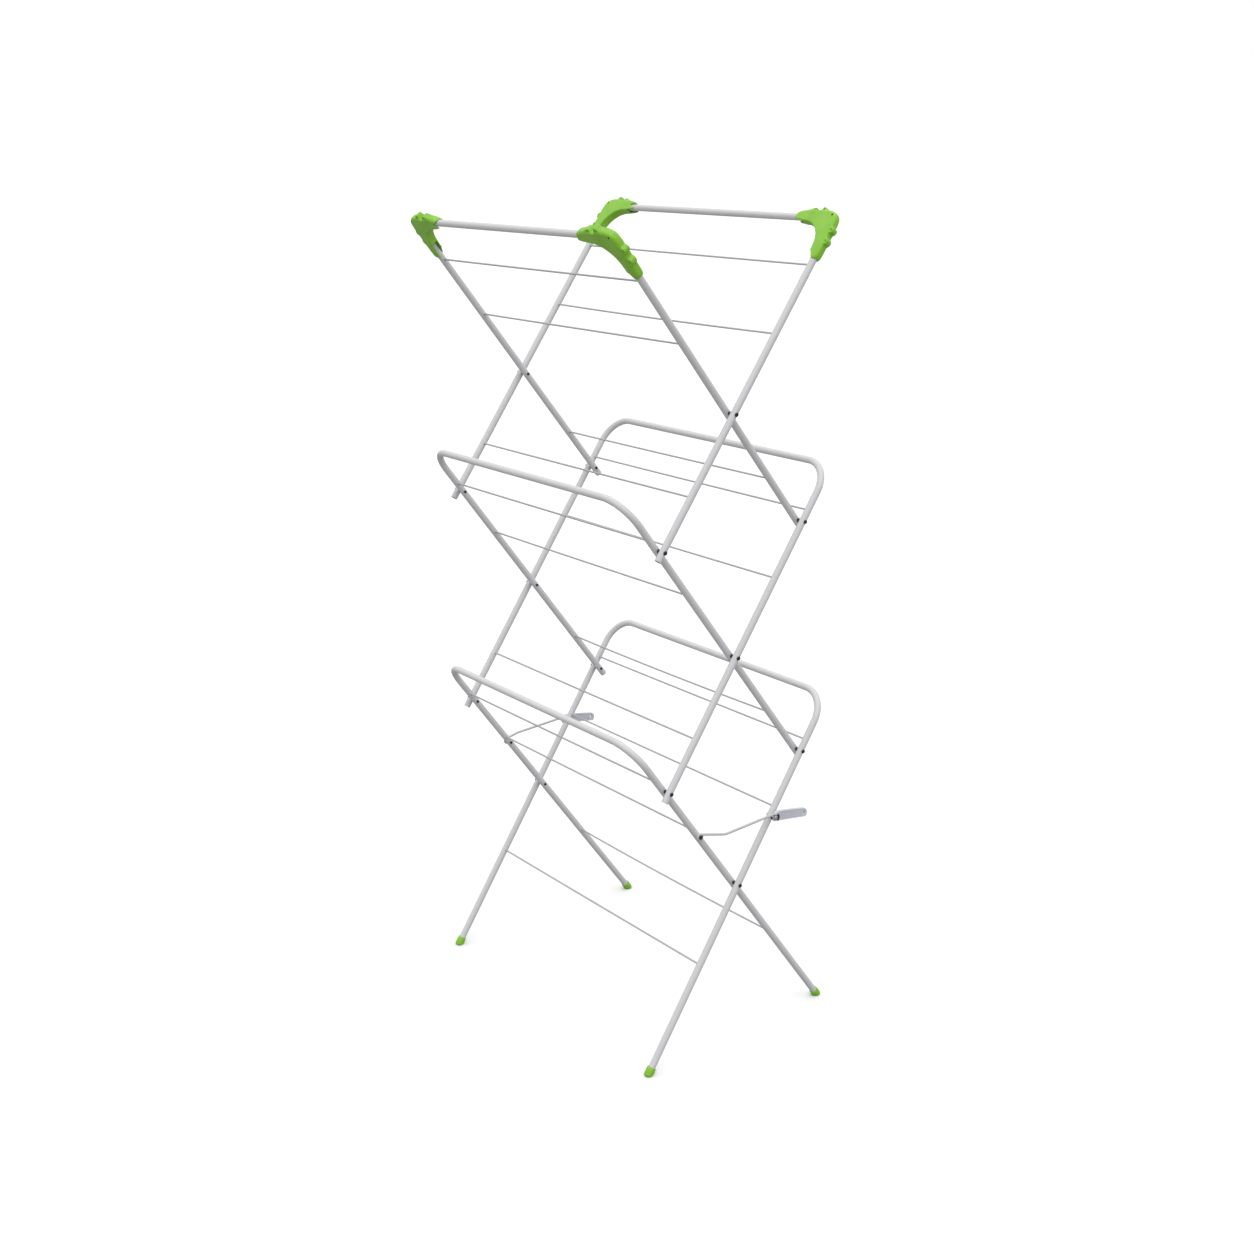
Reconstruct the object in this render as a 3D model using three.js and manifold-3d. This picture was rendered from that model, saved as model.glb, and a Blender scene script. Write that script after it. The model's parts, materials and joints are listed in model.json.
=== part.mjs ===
import * as THREE from 'three';
import { mergeVertices } from 'three/addons/utils/BufferGeometryUtils.js';
import Module from 'manifold-3d';

const wasm = await Module();
wasm.setup();

// Three-tier concertina clothes airer, standing open. Millimetres, +Z up, X along the drying
// rods, Y from front to back. Six frames cross in three X-shaped tiers: the outer frame of each
// tier leans back, the inner one leans forward, and round rivets join them.

// Driving dimensions.
const outerHalfWidth = 280; // side tube axis of the outer frames, from the middle
const innerHalfWidth = 264; // side tube axis of the inner frames
const openAngle = THREE.MathUtils.degToRad(34.9); // lean of the lowest tier's legs
const crossHeight = 269.4; // lowest crossing above the floor
const upperArm = 235; // from a crossing up to the next tier's pivot
const lowerArm = 230; // from a crossing down to the pivot of the tier below
const frameTop = 334; // from a crossing up to the frame's top bar
const freeEnd = 16; // tube left below the lowest pivot of an upper frame
const rodPlaces = { high: 254.5, middle: 136.4, low: -139.2 }; // from the crossing
const lockDistance = 121; // stay pivot and lock stud, from the lowest crossing

const tube = { outer: 5.5, inner: 4.5, sides: 10, bend: 48, bendSteps: 5 };
const rod = { radius: 1.5, hole: 1.9, reach: 3.5, sides: 6 };
const rivet = { shank: 2, hole: 2.3, freeHole: 2.9, cap: 3.8, collar: 3.7, tail: 3, sides: 8 };
const rivetCapHeight = 2.4;
const rivetTailLength = 1.5;
const gap = 0.3; // left between pieces that touch
const foot = { radius: 7.2, bore: 5.8, sole: 8, height: 14.5, toe: 2.5, sides: 12 };
const bracket = { halfThickness: 7.5, tubeSlot: 5.8, railInset: 7, tubeInset: 0.5 };
const stay = {
  wire: 2.1,
  socket: 2.45, // radius of the hole in the handle
  outside: 290.6, // where the wire runs, from the middle
  bend: 14,
  bendSteps: 3,
  sides: 7,
  eye: 6.4,
  eyeStart: 0.2, // from the rivet's collar face
  eyeWidth: 4.2,
  rootAlong: 4.6, // where the wire leaves the eye, back from the pivot
  elbow: { back: 36, up: -0.4 }, // from the pivot
};
const stayCap = { radius: 3.8, height: 2.2 };
const stud = { radius: 3.4, end: 295.2, bevel: 0.6, collar: 4.6, collarEnd: 287.2, tailLength: 1.4 };
const handle = {
  from: 287.6,
  to: 293.7,
  tilt: THREE.MathUtils.degToRad(-11),
  slot: 3.9, // radius of the hook's mouth
  jaw: 1.8, // thickness below the mouth
  mouthEnd: -2, // how far the hook reaches past the stud
  tip: 67.5,
  top: 11,
  bottom: -3.6,
  round: 9, // rounding of the far end
  socketStart: { along: 6, up: 7.2 },
  socketEnd: { along: 34, up: 4.2 },
  hangHole: { along: 61, up: 3.7, radius: 2.6, sides: 10 },
};

const paint = (name, color, roughness, metalness) =>
  Object.assign(new THREE.MeshStandardMaterial({ color, roughness, metalness }), { name });
const finishes = {
  tube: paint('white_paint', 0xd9dadb, 0.38, 0.1),
  rod: paint('grey_paint', 0xb9babc, 0.42, 0.15),
  green: paint('green_plastic', 0x6cb82e, 0.45, 0),
  black: paint('black_plastic', 0x242326, 0.5, 0),
  grey: paint('grey_plastic', 0xadb2b8, 0.5, 0),
  steel: paint('bright_steel', 0xc9cacc, 0.3, 0.8),
};

const airer = new THREE.Group();

// Solids.

function toSolid(geometry) {
  const bare = geometry.clone();
  bare.deleteAttribute('normal');
  bare.deleteAttribute('uv');
  const merged = mergeVertices(bare, 1e-4);
  const vertProperties = new Float32Array(merged.attributes.position.array);
  const triVerts = new Uint32Array(merged.index.array);
  return new wasm.Manifold(new wasm.Mesh({ numProp: 3, vertProperties, triVerts }));
}

function toGeometry(solid) {
  const mesh = solid.getMesh();
  const geometry = new THREE.BufferGeometry();
  geometry.setAttribute('position', new THREE.BufferAttribute(mesh.vertProperties, 3));
  geometry.setIndex(new THREE.BufferAttribute(mesh.triVerts, 1));
  geometry.computeVertexNormals();
  return geometry;
}

function cut(geometry, tools) {
  return toGeometry(tools.reduce((solid, tool) => solid.subtract(toSolid(tool)), toSolid(geometry)));
}

function join(first, second) {
  return toGeometry(toSolid(first).add(toSolid(second)));
}

// A route with rounded corners, stepped only where it bends.
class BentRoute extends THREE.Curve {
  constructor(corners, radius, steps) {
    super();
    const last = corners.length - 1;
    const heading = (from, to) => to.clone().sub(from).normalize();
    this.stations = [{ point: corners[0], tangent: heading(corners[0], corners[1]) }];
    for (let i = 1; i < last; i++) {
      const along = heading(corners[i - 1], corners[i]);
      const next = heading(corners[i], corners[i + 1]);
      const turn = along.angleTo(next);
      const inward = next.clone().addScaledVector(along, -Math.cos(turn)).normalize();
      const start = corners[i].clone().addScaledVector(along, -radius * Math.tan(turn / 2));
      for (let step = 0; step <= steps; step++) {
        const angle = (turn * step) / steps;
        const point = start.clone();
        point.addScaledVector(along, radius * Math.sin(angle));
        point.addScaledVector(inward, radius * (1 - Math.cos(angle)));
        const tangent = along.clone().multiplyScalar(Math.cos(angle));
        this.stations.push({ point, tangent: tangent.addScaledVector(inward, Math.sin(angle)) });
      }
    }
    this.stations.push({ point: corners[last], tangent: heading(corners[last - 1], corners[last]) });
  }

  station(t) {
    return this.stations[Math.round(t * (this.stations.length - 1))];
  }

  getPoint(t, target = new THREE.Vector3()) {
    return target.copy(this.station(t).point);
  }

  getPointAt(t, target) {
    return this.getPoint(t, target);
  }

  getTangentAt(t, target = new THREE.Vector3()) {
    return target.copy(this.station(t).tangent);
  }
}

// A round section with as many corners as asked for, hollow if inner is given.
function roundSection(outer, sides, inner) {
  const circle = (radius) => {
    const corners = [];
    for (let i = 0; i < sides; i++) {
      const angle = (2 * Math.PI * (i + 0.5)) / sides;
      corners.push(new THREE.Vector2(radius * Math.cos(angle), radius * Math.sin(angle)));
    }
    return corners;
  };
  const section = new THREE.Shape(circle(outer));
  if (inner) {
    section.holes.push(new THREE.Path(circle(inner)));
  }
  return section;
}

function bentBar(corners, radius, steps, section) {
  const extrudePath = new BentRoute(corners, radius, steps);
  const stationSteps = extrudePath.stations.length - 1;
  return new THREE.ExtrudeGeometry(section, { extrudePath, steps: stationSteps });
}

// A round bar along X, from one x to another.
function crossBar(radius, sides, from, to, y = 0, z = 0) {
  const bar = new THREE.CylinderGeometry(radius, radius, to - from, sides);
  return bar.rotateZ(Math.PI / 2).translate((from + to) / 2, y, z);
}

// A piece turned about the X axis; the profile lists [x, radius] from low x to high x.
function turned(profile, sides) {
  const points = profile.map(([x, radius]) => new THREE.Vector2(radius, x));
  return new THREE.LatheGeometry(points, sides).rotateZ(-Math.PI / 2);
}

function place(parent, name, geometry, material) {
  const mesh = new THREE.Mesh(geometry, material.clone());
  mesh.name = name;
  parent.add(mesh);
  return mesh;
}

// Where the crossings and pivots stand, seen from the side.

const leanOf = (tier) => Math.asin(Math.sin(openAngle) * (upperArm / lowerArm) ** tier);
const direction = (lean) => new THREE.Vector2(Math.sin(lean), Math.cos(lean)); // y and z
const crossings = [new THREE.Vector2(0, crossHeight)];
for (let tier = 1; tier < 3; tier++) {
  const rise = upperArm * Math.cos(leanOf(tier - 1)) + lowerArm * Math.cos(leanOf(tier));
  crossings.push(new THREE.Vector2(0, crossings[tier - 1].y + rise));
}
const armEnd = (tier, side) =>
  crossings[tier].clone().addScaledVector(direction(side * leanOf(tier)), upperArm);

// A frame's own group: z runs up along its side tubes from the crossing, y is square to it.
function frameGroup(tier, side) {
  const group = new THREE.Group();
  group.position.set(0, crossings[tier].x, crossings[tier].y);
  group.rotation.x = -side * leanOf(tier);
  airer.add(group);
  return group;
}

const legLength = crossHeight / Math.cos(openAngle);
const tierNames = ['lower', 'middle', 'upper'];
const layers = [
  { name: 'outer', half: outerHalfWidth, side: 1 },
  { name: 'inner', half: innerHalfWidth, side: -1 },
];

// Holes through the side tubes of a frame, for its rods and its rivets.
function frameHoles(tier, layer) {
  const inside = layer.half - 2;
  const through = layer.half + 9;
  const holes = Object.values(rodPlaces).map((z) =>
    crossBar(rod.hole, rod.sides, -inside, inside, 0, z),
  );
  const openPivot = tier > 0 && layer.name === 'inner';
  const pivots = [{ z: 0, radius: openPivot ? rivet.freeHole : rivet.hole }];
  if (tier < 2) {
    pivots.push({ z: upperArm, radius: rivet.hole });
  }
  if (tier > 0) {
    pivots.push({ z: -lowerArm, radius: rivet.hole });
  }
  if (tier === 0) {
    pivots.push({ z: lockDistance, radius: rivet.hole });
  }
  pivots.forEach(({ z, radius }) =>
    holes.push(crossBar(radius, rivet.sides, -through, through, 0, z)),
  );
  return holes;
}

function bentFrame(tier, layer, group) {
  const low = tier === 0 ? foot.sole + gap - legLength : -lowerArm - freeEnd;
  const corner = (x, z) => new THREE.Vector3(x, 0, z);
  const route = [
    corner(-layer.half, low),
    corner(-layer.half, frameTop),
    corner(layer.half, frameTop),
    corner(layer.half, low),
  ];
  const section = roundSection(tube.outer, tube.sides, tube.inner);
  const bent = bentBar(route, tube.bend, tube.bendSteps, section);
  const pierced = cut(bent, frameHoles(tier, layer));
  place(group, `${tierNames[tier]}_${layer.name}_frame`, pierced, finishes.tube);
}

function straightTube(length) {
  const section = roundSection(tube.outer, tube.sides, tube.inner);
  return new THREE.ExtrudeGeometry(section, { depth: length, bevelEnabled: false });
}

function topFrame(tier, layer, group) {
  const low = -lowerArm - freeEnd;
  const high = frameTop - bracket.tubeInset;
  const railHalf = layer.half - bracket.railInset;
  for (const [hand, sign] of [['left', -1], ['right', 1]]) {
    const sideTube = straightTube(high - low).translate(sign * layer.half, 0, low);
    const pierced = cut(sideTube, frameHoles(tier, layer));
    place(group, `upper_${layer.name}_tube_${hand}`, pierced, finishes.tube);
    place(group, `upper_${layer.name}_bracket_${hand}`, cornerBracket(layer, sign), finishes.green);
  }
  const rail = straightTube(2 * railHalf).rotateY(Math.PI / 2).translate(-railHalf, 0, frameTop);
  place(group, `upper_${layer.name}_rail`, rail, finishes.tube);
}

// The corner bracket's outline: how far in from the side tube's axis, how far below the rail's.
const bracketOutline = [
  [60, 8.5], [70, 7.5], [77, 5], [80, 1], [80, -4], [76, -8.5], [66, -11.5], [54, -14], [46, -15.6],
  [41.5, -16.6], [38, -9.4], [31, -9.2], [29.6, -15], // hook notch on the top edge
  [28.8, -18.4], [25, -19], [22.5, -15.6], // horn beside it
  [14, -15], [6, -13.5], [0, -10.8], [-5, -6.8], [-8.3, -1.5], [-10, 5], [-10.6, 13],
  [-10.8, 17], [-15.4, 18.2], [-16, 22], [-14.6, 25.6], [-10.8, 26.5], // upper horn on the side
  [-10.8, 35.5], [-15.2, 36.8], [-15.8, 41], [-14.2, 45], [-10.4, 46], // lower horn on the side
  [-10.2, 58], [-9.2, 67], [-7, 71], [-2, 72.5], [5, 72], [9, 69.5],
  [10.2, 62], [10.4, 50], [13, 36.5], [20, 24.5], [32, 15], [46, 10],
];
// The channel for the tubes, open towards the inside of the frame.
const slotOutline = [
  [3, -bracket.tubeSlot], [95, -bracket.tubeSlot], [95, 90],
  [-bracket.tubeSlot, 90], [-bracket.tubeSlot, -0.8],
];

function cornerBracket(layer, sign) {
  const slab = (outline, half) => {
    const corners = outline.map(([u, v]) => new THREE.Vector2(sign * (layer.half - u), frameTop - v));
    const shape = new THREE.Shape(corners);
    const flat = new THREE.ExtrudeGeometry(shape, { depth: 2 * half, bevelEnabled: false });
    return flat.rotateX(Math.PI / 2).translate(0, half, 0);
  };
  return cut(slab(bracketOutline, bracket.halfThickness), [slab(slotOutline, bracket.tubeSlot)]);
}

function footCap(layer, sign, group) {
  const outer = new THREE.CylinderGeometry(foot.radius, foot.radius, foot.height + foot.toe, foot.sides);
  outer.rotateX(Math.PI / 2).translate(0, 0, (foot.height - foot.toe) / 2 - legLength);
  const bore = new THREE.CylinderGeometry(foot.bore, foot.bore, foot.height, tube.sides);
  bore.rotateX(Math.PI / 2).translate(0, 0, foot.height / 2 + foot.sole - legLength);
  const floor = new THREE.BoxGeometry(60, 60, 60).translate(0, 0, -30);
  floor.rotateX(-group.rotation.x).translate(0, 0, -legLength);
  const cap = cut(outer, [bore, floor]).translate(sign * layer.half, 0, 0);
  place(group, `foot_${layer.name}_${sign < 0 ? 'left' : 'right'}`, cap, finishes.green);
}

layers.forEach((layer) => {
  tierNames.forEach((tierName, tier) => {
    const group = frameGroup(tier, layer.side);
    if (tier < 2) {
      bentFrame(tier, layer, group);
    } else {
      topFrame(tier, layer, group);
    }
    Object.entries(rodPlaces).forEach(([height, z]) => {
      const reach = layer.half + rod.reach;
      const bar = crossBar(rod.radius, rod.sides, -reach, reach, 0, z);
      place(group, `${tierName}_${layer.name}_rod_${height}`, bar, finishes.rod);
    });
    if (tier === 0) {
      footCap(layer, -1, group);
      footCap(layer, 1, group);
    }
  });
});

// Rivets: black cap outside, collar between the two tubes, rolled tail inside.

const outerFace = outerHalfWidth + tube.outer + gap;
const innerTail = innerHalfWidth - tube.outer - gap;
const betweenOuter = outerHalfWidth - tube.outer - gap;
const betweenInner = innerHalfWidth + tube.outer + gap;
const tailEnd = innerTail - rivetTailLength;
const tailProfile = [[tailEnd, 0], [tailEnd, rivet.tail], [innerTail, rivet.tail]];

function capProfile(face, radius, height) {
  return [[face, radius], [face + height / 2, radius], [face + height, radius * 0.6], [face + height, 0]];
}

function placeTurned(name, profile, centre, sign, material) {
  const mesh = place(airer, name, turned(profile, rivet.sides), material);
  mesh.position.set(0, centre.x, centre.y);
  mesh.rotation.z = sign < 0 ? Math.PI : 0;
}

const rivetProfile = [
  ...tailProfile,
  [innerTail, rivet.shank], [betweenInner, rivet.shank],
  [betweenInner, rivet.collar], [betweenOuter, rivet.collar],
  [betweenOuter, rivet.shank], [outerFace, rivet.shank],
  ...capProfile(outerFace, rivet.cap, rivetCapHeight),
];
const rivetPlaces = {
  lower_cross: crossings[0],
  lower_back: armEnd(0, 1),
  lower_front: armEnd(0, -1),
  middle_cross: crossings[1],
  middle_back: armEnd(1, 1),
  middle_front: armEnd(1, -1),
  upper_cross: crossings[2],
};
for (const [hand, sign] of [['left', -1], ['right', 1]]) {
  for (const [where, centre] of Object.entries(rivetPlaces)) {
    placeTurned(`rivet_${where}_${hand}`, rivetProfile, centre, sign, finishes.black);
  }
}

// Lock: a bent wire stay turns on the inner frame, and the hook of its handle drops over a stud
// on the outer frame, so the legs can't spread.

const stayPivot = crossings[0].clone().addScaledVector(direction(-openAngle), lockDistance);
const studCentre = crossings[0].clone().addScaledVector(direction(openAngle), lockDistance);
const eyeFrom = betweenInner + stay.eyeStart;
const eyeTo = eyeFrom + stay.eyeWidth;

const studProfile = [
  [betweenOuter - stud.tailLength, 0],
  [betweenOuter - stud.tailLength, rivet.tail],
  [betweenOuter, rivet.tail], [betweenOuter, rivet.shank],
  [outerFace, rivet.shank], [outerFace, stud.collar],
  [stud.collarEnd, stud.collar], [stud.collarEnd, stud.radius],
  [stud.end - stud.bevel, stud.radius], [stud.end, stud.radius - stud.bevel], [stud.end, 0],
];
const stayRivetProfile = [
  ...tailProfile,
  [innerTail, rivet.shank], [eyeTo + gap, rivet.shank],
  ...capProfile(eyeTo + gap, stayCap.radius, stayCap.height),
];

const handleAlong = direction(Math.PI / 2 - handle.tilt); // y and z
const handleUp = new THREE.Vector2(-handleAlong.y, handleAlong.x);
const onHandle = ({ along, up }) =>
  studCentre.clone().addScaledVector(handleAlong, along).addScaledVector(handleUp, up);

function wireRoute(sign) {
  const at = (x, y, z) => new THREE.Vector3(sign * x, y, z);
  const socketStart = onHandle(handle.socketStart);
  const socketEnd = onHandle(handle.socketEnd);
  return [
    at((eyeFrom + eyeTo) / 2, stayPivot.x + stay.rootAlong, stayPivot.y),
    at(stay.outside, stayPivot.x + stay.elbow.back, stayPivot.y + stay.elbow.up),
    at(stay.outside, socketStart.x, socketStart.y),
    at(stay.outside, socketEnd.x, socketEnd.y),
  ];
}

function stayWire(sign) {
  const wire = bentBar(wireRoute(sign), stay.bend, stay.bendSteps, roundSection(stay.wire, stay.sides));
  const aroundPivot = (radius, from, to) => {
    const [low, high] = [sign * from, sign * to].sort((a, b) => a - b);
    return crossBar(radius, rivet.sides, low, high, stayPivot.x, stayPivot.y);
  };
  const ring = aroundPivot(stay.eye, eyeFrom, eyeTo);
  return cut(join(ring, wire), [aroundPivot(rivet.hole, eyeFrom - 5, eyeTo + 5)]);
}

// The handle's outline, along it and square to it from the stud's centre, with its hook.
function handleOutline() {
  const { slot, jaw, mouthEnd, tip, top, bottom, round } = handle;
  const tipMiddle = (top + bottom) / 2;
  const outline = new THREE.Shape();
  outline.moveTo(mouthEnd, slot);
  outline.lineTo(0, slot);
  outline.absarc(0, 0, slot, Math.PI / 2, -Math.PI / 2, true);
  outline.lineTo(0, -slot - jaw);
  outline.lineTo(tip - round, bottom);
  outline.quadraticCurveTo(tip, bottom, tip, tipMiddle);
  outline.quadraticCurveTo(tip, top, tip - round, top);
  outline.lineTo(6, top - 0.6);
  outline.lineTo(1, top - 2);
  outline.lineTo(mouthEnd, slot + jaw);
  return outline;
}

function stayHandle(sign) {
  const width = handle.to - handle.from;
  const flat = { depth: width, bevelEnabled: false, curveSegments: 6 };
  const plate = new THREE.ExtrudeGeometry(handleOutline(), flat);
  const basis = new THREE.Matrix4().makeBasis(
    new THREE.Vector3(0, handleAlong.x, handleAlong.y),
    new THREE.Vector3(0, handleUp.x, handleUp.y),
    new THREE.Vector3(1, 0, 0),
  );
  plate.applyMatrix4(basis);
  plate.translate(sign > 0 ? handle.from : -handle.to, studCentre.x, studCentre.y);
  const socketSection = roundSection(stay.socket, stay.sides);
  const socket = bentBar(wireRoute(sign), stay.bend, stay.bendSteps, socketSection);
  const { radius, sides } = handle.hangHole;
  const hang = onHandle(handle.hangHole);
  const hangHole = crossBar(radius, sides, -handle.to - 5, handle.to + 5, hang.x, hang.y);
  return cut(plate, [socket, hangHole]);
}

for (const [hand, sign] of [['left', -1], ['right', 1]]) {
  placeTurned(`lock_stud_${hand}`, studProfile, studCentre, sign, finishes.steel);
  placeTurned(`stay_rivet_${hand}`, stayRivetProfile, stayPivot, sign, finishes.black);
  place(airer, `stay_wire_${hand}`, stayWire(sign), finishes.rod);
  place(airer, `stay_handle_${hand}`, stayHandle(sign), finishes.grey);
}

export default airer;
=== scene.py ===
import json
import math

import bpy
import numpy as np
from mathutils import Matrix, Vector

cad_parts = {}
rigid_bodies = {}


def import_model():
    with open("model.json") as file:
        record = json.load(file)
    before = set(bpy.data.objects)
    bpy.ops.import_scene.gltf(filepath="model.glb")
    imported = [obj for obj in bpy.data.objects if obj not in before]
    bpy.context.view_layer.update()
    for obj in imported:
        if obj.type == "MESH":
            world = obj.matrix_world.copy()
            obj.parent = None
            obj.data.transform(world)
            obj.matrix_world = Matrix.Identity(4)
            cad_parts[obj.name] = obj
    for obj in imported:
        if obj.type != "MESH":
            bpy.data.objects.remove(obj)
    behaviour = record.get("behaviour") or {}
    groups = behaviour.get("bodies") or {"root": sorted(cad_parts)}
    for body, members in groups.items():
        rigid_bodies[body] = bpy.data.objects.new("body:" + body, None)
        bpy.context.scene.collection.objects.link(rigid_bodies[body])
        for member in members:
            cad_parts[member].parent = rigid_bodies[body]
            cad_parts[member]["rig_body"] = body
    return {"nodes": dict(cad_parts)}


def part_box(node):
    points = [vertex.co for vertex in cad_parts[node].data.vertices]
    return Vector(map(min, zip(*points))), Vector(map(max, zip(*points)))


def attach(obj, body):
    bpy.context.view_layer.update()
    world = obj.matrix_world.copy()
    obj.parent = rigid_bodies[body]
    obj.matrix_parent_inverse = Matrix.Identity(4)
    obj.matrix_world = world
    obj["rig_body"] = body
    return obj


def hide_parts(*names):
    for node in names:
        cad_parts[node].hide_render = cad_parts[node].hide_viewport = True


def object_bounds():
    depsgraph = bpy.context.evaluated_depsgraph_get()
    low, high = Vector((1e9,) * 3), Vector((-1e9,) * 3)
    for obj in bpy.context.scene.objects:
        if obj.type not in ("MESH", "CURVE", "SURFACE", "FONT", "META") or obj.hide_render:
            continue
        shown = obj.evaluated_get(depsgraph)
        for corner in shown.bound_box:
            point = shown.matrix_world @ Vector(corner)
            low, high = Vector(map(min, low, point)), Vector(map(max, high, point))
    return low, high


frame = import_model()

mm = 0.001
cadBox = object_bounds()
airerHeight = cadBox[1].z
print("frame loaded,", len(frame["nodes"]), "nodes")


def middleOf(node):
    low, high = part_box(node)
    return (low + high) / 2


def bodyOf(node):
    return frame["nodes"][node]["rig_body"]


def framePlane(cross, other, upward):
    # from a frame's crossing: x across, y to the back, z up along the side tubes
    start = middleOf(f"rivet_{cross}_right")
    start.x = 0
    end = middleOf(f"rivet_{other}_right")
    end.x = 0
    heading = (end - start).normalized() * upward
    across = Vector((1, 0, 0))
    back = heading.cross(across)
    plane = Matrix((across, back, heading)).transposed().to_4x4()
    plane.translation = start
    return plane


planes = {
    "lower_outer": framePlane("lower_cross", "lower_back", 1),
    "lower_inner": framePlane("lower_cross", "lower_front", 1),
    "middle_outer": framePlane("middle_cross", "lower_front", -1),
    "middle_inner": framePlane("middle_cross", "lower_back", -1),
    "upper_outer": framePlane("upper_cross", "middle_front", -1),
    "upper_inner": framePlane("upper_cross", "middle_back", -1),
}
rodEndReach = 3.5 * mm  # a rod ends this far beyond the side tube's axis
halfWidth = {
    layer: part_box(f"lower_{layer}_rod_middle")[1].x - rodEndReach for layer in ("outer", "inner")
}
handSign = {"left": -1, "right": 1}


def alongPlane(node, plane):
    # lowest and highest place of a node along a frame's side tubes
    inverse = plane.inverted()
    places = [(inverse @ v.co).z for v in frame["nodes"][node].data.vertices]
    return min(places), max(places)


def newPiece(name, vertices, faces, finish, plane=None):
    mesh = bpy.data.meshes.new(name)
    mesh.from_pydata([tuple(v) for v in vertices], [], faces)
    mesh.materials.append(finish)
    mesh.shade_smooth()
    piece = bpy.data.objects.new(name, mesh)
    bpy.context.scene.collection.objects.link(piece)
    if plane is not None:
        piece.matrix_world = plane
    return piece


def settle(piece, node):
    # piece stands for that node, and moves with its body
    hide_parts(node)
    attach(piece, bodyOf(node))
    return piece


def crispEdges(piece, degrees=35):
    piece.data.set_sharp_from_angle(angle=math.radians(degrees))
    return piece


def loft(rings, closed=False):
    # skin over rings that have the same number of points; open lofts get flat ends
    sides = len(rings[0])
    vertices = [point for ring in rings for point in ring]
    faces = []
    steps = len(rings) if closed else len(rings) - 1
    for i in range(steps):
        a = i * sides
        b = ((i + 1) % len(rings)) * sides
        for j in range(sides):
            k = (j + 1) % sides
            faces.append((a + j, a + k, b + k, b + j))
    if not closed:
        faces.append(tuple(reversed(range(sides))))
        faces.append(tuple(range(len(vertices) - sides, len(vertices))))
    return vertices, faces


def ringsAlong(path, radii, sides):
    # rings square to a path, carried along it without twist
    rings = []
    tangent = (path[1] - path[0]).normalized()
    side = tangent.orthogonal().normalized()
    last = len(path) - 1
    for i, point in enumerate(path):
        ahead = (path[min(i + 1, last)] - path[max(i - 1, 0)]).normalized()
        side = tangent.rotation_difference(ahead) @ side
        tangent = ahead
        up = tangent.cross(side)
        ring = []
        for j in range(sides):
            angle = 2 * math.pi * j / sides
            ring.append(point + radii[i] * (math.cos(angle) * side + math.sin(angle) * up))
        rings.append(ring)
    return rings


def roundedRoute(corners, radius, steps):
    # straight runs joined by arcs
    route = [corners[0]]
    for before, corner, after in zip(corners, corners[1:], corners[2:]):
        along = (corner - before).normalized()
        onward = (after - corner).normalized()
        turn = along.angle(onward)
        inward = (onward - along * math.cos(turn)).normalized()
        start = corner - along * radius * math.tan(turn / 2)
        for step in range(steps + 1):
            angle = turn * step / steps
            onArc = start + along * radius * math.sin(angle)
            route.append(onArc + inward * radius * (1 - math.cos(angle)))
    route.append(corners[-1])
    return route


def turnedRings(profile, sides, outward, centre):
    # rings about the x axis; the profile lists (x, radius)
    rings = []
    for x, radius in profile:
        ring = []
        for j in range(sides):
            angle = 2 * math.pi * j / sides * outward
            y = centre.y + radius * math.cos(angle)
            z = centre.z + radius * math.sin(angle)
            ring.append(Vector((outward * x, y, z)))
        rings.append(ring)
    return rings


# moulded shapes: a skin laid where a distance field crosses zero

def outlineDistance(outline, x, y):
    # distance to a closed outline, less than zero inside it
    closest = np.full(x.shape, np.inf)
    inside = np.zeros(x.shape, bool)
    for (ax, ay), (bx, by) in zip(outline, outline[1:] + outline[:1]):
        ex, ey = bx - ax, by - ay
        share = np.clip(((x - ax) * ex + (y - ay) * ey) / (ex * ex + ey * ey), 0, 1)
        closest = np.minimum(closest, np.hypot(x - ax - share * ex, y - ay - share * ey))
        if ey:
            inside ^= ((ay > y) != (by > y)) & (x < ex * (y - ay) / ey + ax)
    return np.where(inside, -closest, closest)


def roundedSlab(edge, across, half, radius):
    # an outline given thickness, with its edges rounded
    e = edge + radius
    t = np.abs(across) - half + radius
    return np.minimum(np.maximum(e, t), 0) + np.hypot(np.maximum(e, 0), np.maximum(t, 0)) - radius


def joined(a, b, blend):
    # both shapes, with a soft corner between them
    share = np.clip(0.5 + 0.5 * (b - a) / blend, 0, 1)
    return b * (1 - share) + a * share - blend * share * (1 - share)


def cutBy(a, b, blend):
    return -joined(-a, b, blend)


def smoothLine(points, steps=4):
    # closed curve through listed points
    curve = []
    count = len(points)
    for i in range(count):
        a, b, c, d = (np.array(points[(i + n) % count], float) for n in (-1, 0, 1, 2))
        for step in range(steps):
            t = step / steps
            square = (2 * a - 5 * b + 4 * c - d) * t * t
            cube = (3 * b - a - 3 * c + d) * t ** 3
            curve.append(tuple(0.5 * (2 * b + (c - a) * t + square + cube)))
    return curve


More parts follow.
